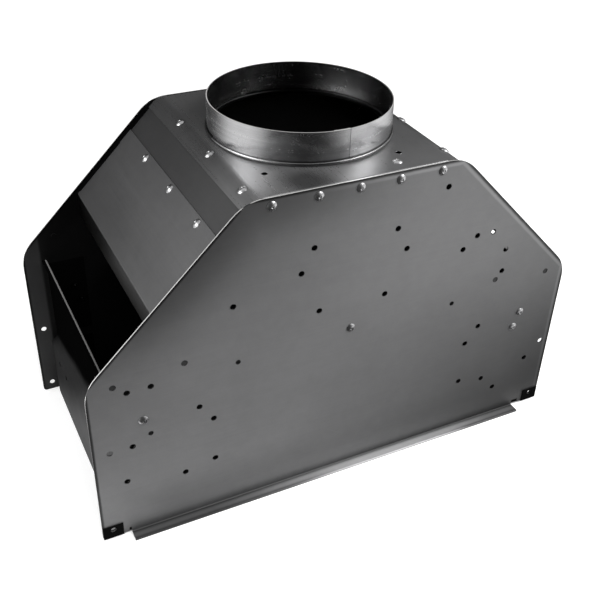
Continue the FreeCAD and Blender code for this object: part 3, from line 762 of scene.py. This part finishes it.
def rivet_seat(faces):
    """The place under a rivet's head and the direction that the head points in."""
    areas = {}
    for face in faces:
        key = tuple(round(number, 3) for number in face.normal)
        areas[key] = areas.get(key, 0) + face.calc_area()
    outward = -Vector(max(areas, key=areas.get))
    under = [face for face in faces if face.normal.dot(outward) < -SQUARE_ON]
    levels = [face.calc_center_median().dot(outward) for face in under]
    lowest = max(levels) - RING_DEPTH
    ring = [face for face, level in zip(under, levels) if level > lowest]
    return middle_of(ring), outward.normalized()


rivet_names = [name for name in nodes if name.endswith("rivets") or name.endswith("_rivet")]
rivet_names = sorted(name for name in rivet_names if name != "collar_rivet")
seats = []
for name in rivet_names:
    welded = merged_copy(name)
    welded.faces.index_update()
    seats += [rivet_seat(group) for group in islands(welded.faces)]
    welded.free()
print(len(seats), "rivets in", len(rivet_names), "nodes")

# %% [markdown]
# ## A rivet from a rolled-up grid
# A blind rivet is a turned shape: a dome with a crater, where the pin broke off, a thin skirt, a
# shank and a bulb on the hidden side. Thirty of them, all alike, call for Geometry Nodes.
# The tree makes one flat grid and rolls it up: a vertex's place along X becomes an angle, and
# its row picks a radius and a height from the profile. Merge by Distance closes the seam and
# the two poles. The rivet is then instanced on the seats, turned to each seat's direction and
# spun at random with a fixed seed, because no two are set alike.

# %% Helpers for Geometry Nodes
FULL_TURN = 2 * math.pi
SHARP = math.radians(32)


def new_tree(name, sizes):
    """A Geometry Nodes tree that takes places, named sizes and a finish."""
    group = bpy.data.node_groups.new(name, "GeometryNodeTree")
    sockets = group.interface
    sockets.new_socket("Places", in_out="INPUT", socket_type="NodeSocketGeometry")
    for label, size in sizes.items():
        kind = "NodeSocketInt" if isinstance(size, int) else "NodeSocketFloat"
        sockets.new_socket(label, in_out="INPUT", socket_type=kind).default_value = size
    sockets.new_socket("Finish", in_out="INPUT", socket_type="NodeSocketMaterial")
    sockets.new_socket("Pieces", in_out="OUTPUT", socket_type="NodeSocketGeometry")
    tree = Tree(group)
    start = tree.make("NodeGroupInput")
    given = {socket.name: Value(tree, socket) for socket in start.outputs if socket.name}
    return group, tree, given


def rolled_up(tree, rows, sides):
    """A body turned around Z, from rows of (radius, height) that run up its outside."""
    inputs = {"Size X": 1.0, "Size Y": 1.0, "Vertices X": sides + 1, "Vertices Y": len(rows)}
    grid = tree.add("GeometryNodeMeshGrid", inputs=inputs)
    x, y, _ = tree.parts(tree.add("GeometryNodeInputPosition"))
    angle = (x + 0.5) * FULL_TURN
    row = (y + 0.5) * (len(rows) - 1) + 0.5
    pick = tree.make("GeometryNodeIndexSwitch", {"data_type": "VECTOR"}, {"Index": row})
    for _ in range(len(rows) - 2):
        pick.index_switch_items.new()
    for index, (radius, height) in enumerate(rows):
        point = tree.joined(radius, height, 0.0)
        tree.links.new(point.socket, pick.inputs[index + 1])
    radius, height, _ = tree.parts(Value(tree, pick.outputs[0]))
    place = tree.joined(radius * angle.cosine(), radius * angle.sine(), height)
    body = tree.add("GeometryNodeSetPosition", inputs={"Geometry": grid, "Position": place})
    return tree.add("GeometryNodeMergeByDistance", inputs={0: body, "Distance": MERGE})


def creased(tree, mesh):
    """Smooth faces with sharp edges where the surface turns a corner."""
    smooth = tree.add("GeometryNodeSetShadeSmooth", {"domain": "FACE"}, {0: mesh, 2: True})
    corner = tree.add("GeometryNodeInputMeshEdgeAngle").above(SHARP)
    settings = {"domain": "EDGE"}
    return tree.add("GeometryNodeSetShadeSmooth", settings, {0: smooth, 1: corner, 2: False})


def random_between(tree, low, high, seed):
    settings = {"data_type": "FLOAT"}
    return tree.add("FunctionNodeRandomValue", settings, {2: low, 3: high, 8: seed}, 1)


def on_places(tree, given, mesh, tilt):
    """Copies of a mesh on the places, turned outwards, a little askew, and made real."""
    settings = {"data_type": "FLOAT_VECTOR"}
    outward = tree.add("GeometryNodeInputNamedAttribute", settings, {"Name": "outward"})
    upright = tree.add("FunctionNodeAlignRotationToVector", {"axis": "Z"}, {"Vector": outward})
    seed = given["Seed"]
    askew = tree.joined(random_between(tree, -tilt, tilt, seed),
                        random_between(tree, -tilt, tilt, seed + 1),
                        random_between(tree, 0.0, FULL_TURN, seed + 2))
    turn = tree.add("FunctionNodeEulerToRotation", inputs={0: askew})
    inputs = {"Rotation": upright, "Rotate By": turn}
    rotation = tree.add("FunctionNodeRotateRotation", {"rotation_space": "LOCAL"}, inputs)
    inputs = {"Points": given["Places"], "Instance": mesh, "Rotation": rotation}
    copies = tree.add("GeometryNodeInstanceOnPoints", inputs=inputs)
    real = tree.add("GeometryNodeRealizeInstances", inputs={0: copies})
    inputs = {"Geometry": real, "Material": given["Finish"]}
    finished = tree.add("GeometryNodeSetMaterial", inputs=inputs)
    tree.make("NodeGroupOutput", inputs={0: finished})


def grow(name, group, places, settings):
    """Runs a tree on (place, outward) pairs and keeps the result as a plain mesh."""
    mesh = bpy.data.meshes.new(name)
    mesh.from_pydata([place for place, _ in places], [], [])
    attribute = mesh.attributes.new("outward", "FLOAT_VECTOR", "POINT")
    attribute.data.foreach_set("vector", [number for _, way in places for number in way])
    piece = bpy.data.objects.new(name, mesh)
    bpy.context.collection.objects.link(piece)
    modifier = piece.modifiers.new(name, "NODES")
    modifier.node_group = group
    for item in group.interface.items_tree:
        if item.name in settings:
            modifier[item.identifier] = settings[item.name]
    evaluated = piece.evaluated_get(bpy.context.evaluated_depsgraph_get())
    plain = bpy.data.meshes.new_from_object(evaluated)
    piece.modifiers.remove(modifier)
    piece.data = plain
    print(name, "on", len(places), "places:", len(plain.polygons), "faces")
    return piece


# %% Build the rivet tree
RIVET_SIZES = {
    "Head Radius": 4.0 * MM, "Dome Height": 1.6 * MM, "Skirt Height": 0.35 * MM,
    "Shank Radius": 2.0 * MM, "Grip": 2.3 * MM, "Tail Radius": 2.8 * MM,
    "Tail Length": 3.0 * MM, "Pin Radius": 0.8 * MM, "Seed": 7,
}
RIVET_SIDES = 24
RIVET_TILT = math.radians(0.8)
PIN_END = ((0.0, 0.7), (0.9, 0.5), (1.4, 0.0))
TAIL_BULB = ((0.72, 0.0), (0.93, 0.14), (1.0, 0.4), (0.94, 0.7), (0.78, 0.95))
DOME_SHARES = (0.93, 0.82, 0.68, 0.54, 0.42)
CRATER_SHARE = 0.34
PIN_BREAK = ((1.2, 0.2), (1.1, 0.45), (1.0, 0.45), (0.95, 0.2), (0.6, 0.12), (0.0, 0.16))
rivet_tree, tree, given = new_tree("set_rivet", RIVET_SIZES)
head, dome, skirt = given["Head Radius"], given["Dome Height"], given["Skirt Height"]
shank, grip, pin = given["Shank Radius"], given["Grip"], given["Pin Radius"]
tail, tail_length = given["Tail Radius"], given["Tail Length"]
dome_radius = (head * head + dome * dome) / (dome * 2)


def dome_height(radius):
    return skirt + dome - dome_radius + (dome_radius * dome_radius - radius * radius) ** 0.5


foot = (grip + tail_length) * -1
rows = [(pin * share, foot - pin * down) for share, down in PIN_END]
rows += [(tail * share, foot + tail_length * up) for share, up in TAIL_BULB]
rows += [(shank, grip * -1), (shank, 0.0)]
rows += [(head * 0.98, 0.0), (head, skirt * 0.4), (head, skirt)]
rows += [(head * share, dome_height(head * share)) for share in DOME_SHARES]
crater = dome_height(head * CRATER_SHARE)
rows.append((head * CRATER_SHARE, crater - dome * 0.02))
rows += [(pin * share, crater - dome * down) for share, down in PIN_BREAK]
on_places(tree, given, creased(tree, rolled_up(tree, rows, RIVET_SIDES)), RIVET_TILT)
print("rows in the rivet's profile:", len(rows))

# %% Set the rivets
set_rivets = grow("set_rivets", rivet_tree, seats, {"Finish": rivet_steel})
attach(set_rivets, "root")
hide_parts(*rivet_names)

# %% [markdown]
# ## Burrs around the punched holes
# A punch rolls the edge of its hole and leaves a fine raised ring, which catches the light. The
# holes are found in the frame's own sheets: their walls look across the sheet, hang together,
# and are all at the same small distance from their middle. The ring is the rolled-up grid
# again, this time with a closed profile, so its first and last rows merge.

# %% Find the punched holes
HOLE_RADIUS = 2.5 * MM
ROUND_ENOUGH = 0.1 * MM
WALL_LEAN = 0.2


def punched_holes(name, axis, faces_at):
    """(place, outward) of a sheet's holes on the side of it that looks outwards along an axis."""
    welded = merged_copy(name)
    welded.faces.index_update()
    outward = Vector([0.0, 0.0, 0.0])
    outward[axis] = math.copysign(1.0, faces_at)
    walls = [face for face in welded.faces if abs(face.normal[axis]) < WALL_LEAN]
    found = []
    for group in islands(walls):
        corners = {vertex.index: vertex.co.copy() for face in group for vertex in face.verts}
        spots = [corners[index] for index in sorted(corners)]
        for spot in spots:
            spot[axis] = faces_at
        middle = sum(spots, Vector()) / len(spots)
        off_circle = [abs((spot - middle).length - HOLE_RADIUS) for spot in spots]
        if max(off_circle) < ROUND_ENOUGH:
            found.append((middle, outward))
    welded.free()
    return found


burrs = {
    "panel_burrs": (panel_steel, "panel_steel", punched_holes("front_panel", ALONG_Y, -FACE)
                    + punched_holes("back_panel", ALONG_Y, FACE)),
    "roof_burrs": (top_steel, "roof_steel", punched_holes("top_plate", ALONG_Z, ROOF_TOP)),
    "wall_burrs": (end_steel, "end_steel", punched_holes("left_end_wall", ALONG_X, -WALL_OUT)
                   + punched_holes("right_end_wall", ALONG_X, WALL_OUT)),
}
print({name: len(found) for name, (_, _, found) in burrs.items()})

# %% Build and set the burrs
BURR_SIZES = {"Hole Radius": HOLE_RADIUS, "Burr Radius": 0.16 * MM, "Seed": 3}
BURR_SIDES = 20
BURR_ROWS = 6
BURR_FLATNESS = 0.8
burr_tree, tree, given = new_tree("hole_burr", BURR_SIZES)
burr = given["Burr Radius"]
ring = given["Hole Radius"] + burr
angles = [FULL_TURN * index / BURR_ROWS for index in range(BURR_ROWS + 1)]
rows = [(ring + burr * math.cos(angle), burr * math.sin(angle) * BURR_FLATNESS)
        for angle in angles]
on_places(tree, given, creased(tree, rolled_up(tree, rows, BURR_SIDES)), 0.0)
for name, (finish, slot, found) in burrs.items():
    piece = grow(name, burr_tree, found, {"Finish": finish})
    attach(piece, "root")

# %% [markdown]
# ## The studio
# A plain pale floor and soft lamps. The floor is a matt white that the lamps light. It also
# glows, a little near the object and more farther off, so that it joins the white background,
# and the object's shadow still darkens it. The glow shows to the camera, in reflections and
# through glass, but lights nothing. Under the object, out to the ends of the front panel, the
# floor is painted dark and does not glow, a painted shadow.
#
# A smooth metal sheet has the tone of what it reflects, so the studio is built for reflections.
# Lamps to the right and to the left show on the brushed ring as upright bands. Between the
# bands the ring is dark, where it reflects the dark side of a room. Black cards do that here,
# as product photographers do it: only reflections see them, and the standing ones fade out at
# both ends, so that the bands have soft edges. The third lamp only fills in from the front.

# %% Floor and world
FLOOR_HALF = 5.0
floor_mesh = bpy.data.meshes.new("floor")
floor_mesh.from_pydata([(x, y, 0) for x in (-FLOOR_HALF, FLOOR_HALF)
                        for y in (-FLOOR_HALF, FLOOR_HALF)], [], [(0, 2, 3, 1)])
floor = bpy.data.objects.new("floor", floor_mesh)
bpy.context.collection.objects.link(floor)

FLOOR_COLOUR = 0.8
FLOOR_GLOW = 0.4
NEAR_FLOOR = 0.8
FAR_FLOOR = 2.4
FLOOR_SHADOW_TONE = 0.02
floor_paper, tree, shader = new_material("floor_paper")
x, y, _ = tree.parts(object_place(tree))
# Painted shadow: the floor is dark under the object, and behind the front panel to its ends.
inside_x = abs(x).step(WALL_OUT - 3 * MM, WALL_OUT, 1, 0)
inside_y = abs(y).step(FACE - 4 * MM, FACE - 1 * MM, 1, 0)
panel_start = x.step(3 * MM - HALF_WIDTH, 6 * MM - HALF_WIDTH)
panel_end = x.step(HALF_WIDTH - 6 * MM, HALF_WIDTH + 4 * MM, 1, 0)
behind_panel = y.step(4 * MM - FACE, 24 * MM - FACE, 1, 0)
beside = 1 - inside_y * inside_x.most(panel_start * panel_end * behind_panel)
reach = (x * x + y * y) ** 0.5
far = reach.step(NEAR_FLOOR, FAR_FLOOR)
paper = beside * (FLOOR_COLOUR - FLOOR_SHADOW_TONE) + FLOOR_SHADOW_TONE
tree.links.new(tree.joined(paper, paper, paper).socket, shader.inputs["Base Color"])
shader.inputs["Roughness"].default_value = 0.9
shader.inputs["Specular IOR Level"].default_value = 0.1


def background_seen(tree):
    """1 for the rays that see the background: straight, in reflections and through glass."""
    rays = tree.make("ShaderNodeLightPath")
    names = ("Is Camera Ray", "Is Glossy Ray", "Is Transmission Ray")
    camera_ray, glossy_ray, clear_ray = (Value(tree, rays.outputs[name]) for name in names)
    return camera_ray.most(glossy_ray).most(clear_ray)


strength = background_seen(tree) * beside * (far * (1 - FLOOR_GLOW) + FLOOR_GLOW)
glow = tree.add("ShaderNodeEmission", inputs={"Color": grey(1.0), "Strength": strength})
both = tree.add("ShaderNodeAddShader", inputs={0: Value(tree, shader.outputs[0]), 1: glow})
output = next(node for node in tree.nodes if node.type == "OUTPUT_MATERIAL")
tree.links.new(both.socket, output.inputs["Surface"])
floor_mesh.materials.append(floor_paper)

STUDIO_LEVEL = 0.22
world = bpy.data.worlds.new("studio")
bpy.context.scene.world = world
world.use_nodes = True
tree = Tree(world.node_tree)
background = next(node for node in tree.nodes if node.type == "BACKGROUND")
background.inputs["Color"].default_value = grey(1.0)
strength = background_seen(tree) * (1 - STUDIO_LEVEL) + STUDIO_LEVEL
tree.links.new(strength.socket, background.inputs["Strength"])

# %% Black cards
CARD_DISTANCE = 0.6
CARD_STEPS = 24
CARD_RISE = 2 * MM
FRONT_CARD = {"start": -175, "end": -38, "top": 1.8, "fade": 45}
BACK_CARD = {"start": 5, "end": 156, "top": 1.2, "fade": 24}
FLOOR_CARD = ((0.50, -0.12), (0.50, -0.22), (0.14, -0.33), (0.12, -0.60), (-0.75, -0.60),
              (-0.75, -0.36), (-0.16, -0.12))

card_paper, tree, shader = new_material("card_paper")
shader.inputs["Base Color"].default_value = grey(0.01)
shader.inputs["Specular IOR Level"].default_value = 0.0
cover = tree.add("ShaderNodeAttribute", {"attribute_name": "cover"}, output=2)
clear = tree.add("ShaderNodeBsdfTransparent")
paper = Value(tree, shader.outputs[0])
faded = tree.add("ShaderNodeMixShader", inputs={0: cover, 1: clear, 2: paper})
output = next(node for node in tree.nodes if node.type == "OUTPUT_MATERIAL")
tree.links.new(faded.socket, output.inputs["Surface"])


def around(distance, azimuth, height):
    """A place at a distance from the object's middle, in a direction seen from above."""
    angle = math.radians(azimuth)
    return (distance * math.cos(angle), distance * math.sin(angle), height)


def black_card(name, points, covers, faces):
    """A card that darkens reflections and nothing else. covers is 0 where it has faded out."""
    mesh = bpy.data.meshes.new(name)
    mesh.from_pydata(points, [], faces)
    mesh.attributes.new("cover", "FLOAT", "POINT").data.foreach_set("value", covers)
    mesh.materials.append(card_paper)
    card = bpy.data.objects.new(name, mesh)
    bpy.context.collection.objects.link(card)
    card.visible_camera = False
    card.visible_diffuse = False
    card.visible_transmission = False
    card.visible_shadow = False
    print(name, "of", len(faces), "faces")


def standing_card(name, start, end, top, fade):
    """A card bent around the object between two directions, which fades out at both ends."""
    points = []
    covers = []
    for index in range(CARD_STEPS + 1):
        azimuth = start + (end - start) * index / CARD_STEPS
        points.append(around(CARD_DISTANCE, azimuth, CARD_RISE))
        points.append(around(CARD_DISTANCE, azimuth, top))
        covers += [min(1.0, (azimuth - start) / fade, (end - azimuth) / fade)] * 2
    faces = [(low, low + 2, low + 3, low + 1) for low in range(0, 2 * CARD_STEPS, 2)]
    black_card(name, points, covers, faces)


standing_card("front_card", **FRONT_CARD)
standing_card("back_card", **BACK_CARD)
floor_corners = [(x, y, CARD_RISE) for x, y in FLOOR_CARD]
black_card("floor_card", floor_corners, [1.0] * len(FLOOR_CARD), [range(len(FLOOR_CARD))])

# %% Lamps
AIM = Vector((0, 0, 200 * MM))
LAMP_DISTANCE = 2.0


def lamp(name, azimuth, elevation, width, height, power):
    """A soft light that looks at the object from a direction."""
    light = bpy.data.lights.new(name, "AREA")
    light.shape = "RECTANGLE"
    light.size = width
    light.size_y = height
    light.energy = power
    holder = bpy.data.objects.new(name, light)
    bpy.context.collection.objects.link(holder)
    rise = math.radians(elevation)
    reach = LAMP_DISTANCE * math.cos(rise)
    offset = Vector(around(reach, azimuth, LAMP_DISTANCE * math.sin(rise)))
    holder.location = AIM + offset
    holder.rotation_euler = (-offset).to_track_quat("-Z", "Y").to_euler()
    return holder


lamp("right_lamp", azimuth=-30, elevation=40, width=1.1, height=1.0, power=38)
lamp("left_lamp", azimuth=178, elevation=28, width=1.1, height=1.0, power=25)
front_lamp = lamp("front_lamp", azimuth=-100, elevation=45, width=1.6, height=1.2, power=30)
front_lamp.visible_glossy = False

# %% [markdown]
# ## The camera
# The camera looks down at the front panel from its left. Where it stands was worked out from
# the long straight edges of the sheet metal, which is enough to fix place, turn and lens.

# %% Place the camera
CAMERA_PLACE = (-0.3147, -0.6218, 0.5928)
CAMERA_TURN = math.radians(27.31)
CAMERA_PITCH = math.radians(34.38)
CAMERA_ROLL = math.radians(2.0)
FRAME_PIXELS = 600
FOCAL_PIXELS = 904.5
SENSOR_WIDTH = 36.0

right = Vector((math.cos(CAMERA_TURN), -math.sin(CAMERA_TURN), 0))
level = Vector((math.sin(CAMERA_TURN), math.cos(CAMERA_TURN), 0))
forward = level * math.cos(CAMERA_PITCH) - Vector((0, 0, math.sin(CAMERA_PITCH)))
upward = level * math.sin(CAMERA_PITCH) + Vector((0, 0, math.cos(CAMERA_PITCH)))
camera_right = right * math.cos(CAMERA_ROLL) + upward * math.sin(CAMERA_ROLL)
camera_up = upward * math.cos(CAMERA_ROLL) - right * math.sin(CAMERA_ROLL)

camera_data = bpy.data.cameras.new("camera")
camera_data.sensor_width = SENSOR_WIDTH
camera_data.lens = FOCAL_PIXELS / FRAME_PIXELS * SENSOR_WIDTH
camera = bpy.data.objects.new("camera", camera_data)
bpy.context.collection.objects.link(camera)
turn = Matrix((camera_right, camera_up, -forward)).transposed()
camera.matrix_world = Matrix.Translation(CAMERA_PLACE) @ turn.to_4x4()
bpy.context.scene.camera = camera
bpy.context.scene.view_settings.view_transform = "Standard"
print("lens:", round(camera_data.lens, 2), "mm")

# %% [markdown]
